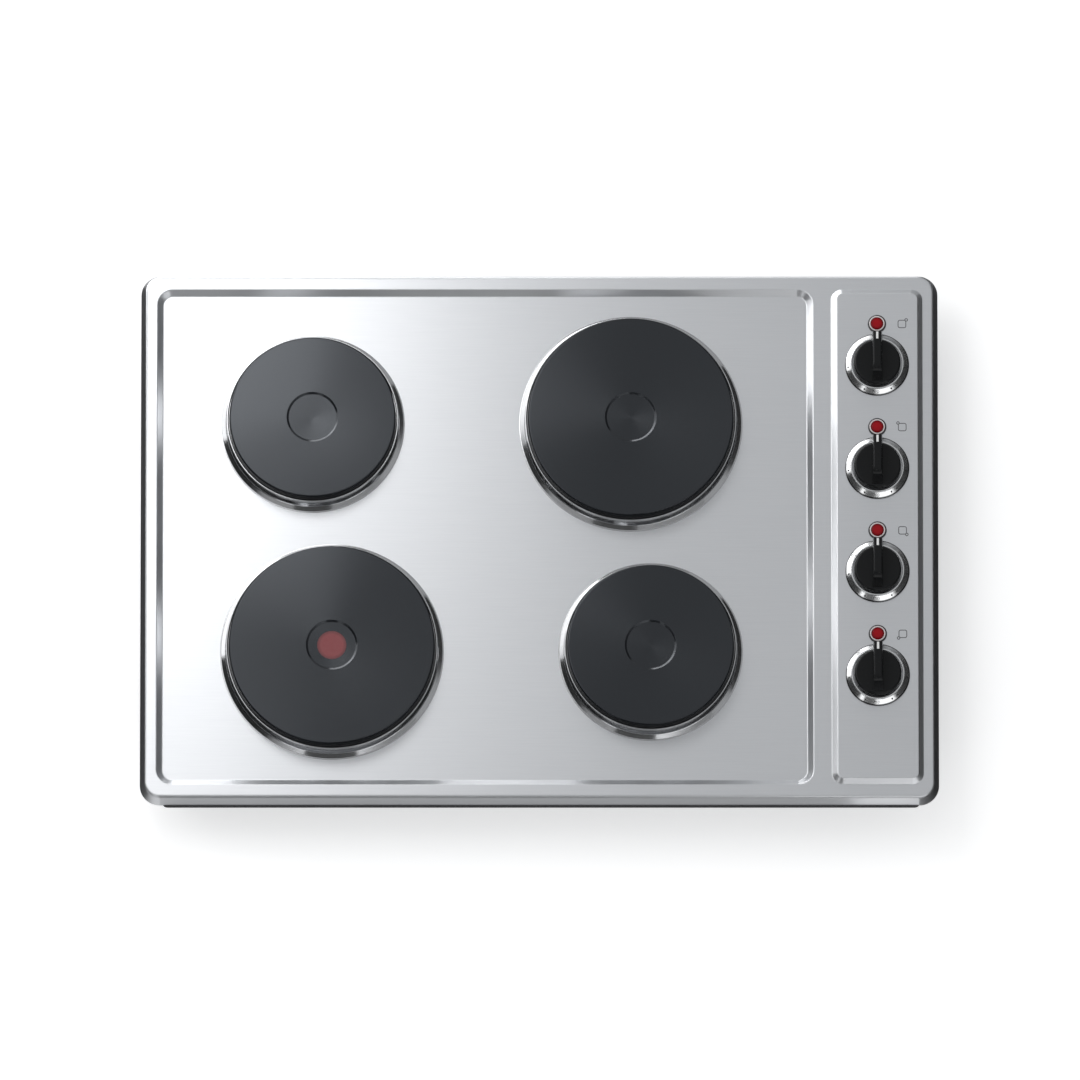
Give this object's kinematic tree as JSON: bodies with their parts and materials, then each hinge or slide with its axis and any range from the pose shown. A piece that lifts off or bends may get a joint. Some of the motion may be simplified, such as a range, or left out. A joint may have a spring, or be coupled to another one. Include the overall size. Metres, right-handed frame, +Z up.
{
  "type": "built-in electric hob",
  "caption": "Built-in electric hob: pressed steel top with solid cast-iron hot plates, steel spill collars, and a side deck of push-and-turn knobs in dial rings with red lamps.",
  "frame": {"origin": "centre of the outline, at the underside of the lower box", "axes": "+X towards the control deck, +Y towards the back, +Z up"},
  "size_m": [0.71, 0.49, 0.0916],
  "materials": {
    "top_steel": "fine brushed stainless sheet",
    "collar_steel": "polished stainless",
    "iron": "blackened machined iron",
    "bezel_chrome": "bright plated",
    "knob_black": "semi-gloss moulded",
    "lens_red": "clear red moulded",
    "lamp_grey": "pale moulded",
    "foam": "closed-cell foam",
    "box_zinc": "zinc-coated sheet",
    "fixing_zinc": "zinc plated",
    "ceramic": "unglazed",
    "coil_alloy": "oxidised resistance alloy",
    "spindle_steel": "bright drawn",
    "switch_case": "moulded phenolic",
    "washer_brass": "stamped",
    "bush_black": "moulded",
    "wire_sleeve": "heat-proof sleeve"
  },
  "bodies": {
    "hob": {"hob_top": "top_steel", "rim_gasket": "foam", "burner_box": "box_zinc", "hotplate_rear_left": "iron", "spill_ring_rear_left": "collar_steel", "heating_coil_rear_left": "coil_alloy", "clamp_bridge_rear_left": "fixing_zinc", "dial_bezel_rear_left": "bezel_chrome", "switch_body_rear_left": "switch_case", "lamp_lens_rear_left": "lens_red", "hotplate_rear_right": "iron", "spill_ring_rear_right": "collar_steel", "heating_coil_rear_right": "coil_alloy", "clamp_bridge_rear_right": "fixing_zinc", "dial_bezel_rear_right": "bezel_chrome", "switch_body_rear_right": "switch_case", "lamp_lens_rear_right": "lens_red", "hotplate_front_left": "iron", "spill_ring_front_left": "collar_steel", "heating_coil_front_left": "coil_alloy", "clamp_bridge_front_left": "fixing_zinc", "dial_bezel_front_left": "bezel_chrome", "switch_body_front_left": "switch_case", "lamp_lens_front_left": "lens_red", "hotplate_front_right": "iron", "spill_ring_front_right": "collar_steel", "heating_coil_front_right": "coil_alloy", "clamp_bridge_front_right": "fixing_zinc", "dial_bezel_front_right": "bezel_chrome", "switch_body_front_right": "switch_case", "lamp_lens_front_right": "lens_red", "coil_fillers": "ceramic", "base_covers": "box_zinc", "plate_studs": "fixing_zinc", "stud_nuts": "fixing_zinc", "burner_terminals": "ceramic", "thermal_limiter": "fixing_zinc", "switch_screws": "fixing_zinc", "lamp_bodies": "lamp_grey", "switch_rail": "box_zinc", "box_brackets": "fixing_zinc", "box_screws": "fixing_zinc", "hold_down_clamps": "fixing_zinc", "clamp_wall_screws": "fixing_zinc", "clamp_screws": "fixing_zinc", "cable_bush": "bush_black", "mains_terminal_block": "ceramic", "wiring_harness": "wire_sleeve"},
    "push_rear_left": {"push_washer_rear_left": "washer_brass"},
    "knob_rear_left": {"knob_rear_left": "knob_black", "spindle_rear_left": "spindle_steel"},
    "push_rear_right": {"push_washer_rear_right": "washer_brass"},
    "knob_rear_right": {"knob_rear_right": "knob_black", "spindle_rear_right": "spindle_steel"},
    "push_front_left": {"push_washer_front_left": "washer_brass"},
    "knob_front_left": {"knob_front_left": "knob_black", "spindle_front_left": "spindle_steel"},
    "push_front_right": {"push_washer_front_right": "washer_brass"},
    "knob_front_right": {"knob_front_right": "knob_black", "spindle_front_right": "spindle_steel"}
  },
  "joints": [
    {"name": "push_rear_left", "type": "slide", "parent": "hob", "child": "push_rear_left", "axis": [0, 0, -1], "range_m": [0, 0.0025], "stiffness_N_per_m": 1200, "springref_m": -0.003},
    {"name": "turn_rear_left", "type": "hinge", "parent": "push_rear_left", "child": "knob_rear_left", "pos_m": [0.30075, 0.06215, 0.067], "axis": [0, 0, 1], "continuous": true},
    {"name": "push_rear_right", "type": "slide", "parent": "hob", "child": "push_rear_right", "axis": [0, 0, -1], "range_m": [0, 0.0025], "stiffness_N_per_m": 1200, "springref_m": -0.003},
    {"name": "turn_rear_right", "type": "hinge", "parent": "push_rear_right", "child": "knob_rear_right", "pos_m": [0.30075, 0.15785, 0.067], "axis": [0, 0, 1], "continuous": true},
    {"name": "push_front_left", "type": "slide", "parent": "hob", "child": "push_front_left", "axis": [0, 0, -1], "range_m": [0, 0.0025], "stiffness_N_per_m": 1200, "springref_m": -0.003},
    {"name": "turn_front_left", "type": "hinge", "parent": "push_front_left", "child": "knob_front_left", "pos_m": [0.30075, -0.12925, 0.067], "axis": [0, 0, 1], "continuous": true},
    {"name": "push_front_right", "type": "slide", "parent": "hob", "child": "push_front_right", "axis": [0, 0, -1], "range_m": [0, 0.0025], "stiffness_N_per_m": 1200, "springref_m": -0.003},
    {"name": "turn_front_right", "type": "hinge", "parent": "push_front_right", "child": "knob_front_right", "pos_m": [0.30075, -0.03355, 0.067], "axis": [0, 0, 1], "continuous": true}
  ]
}
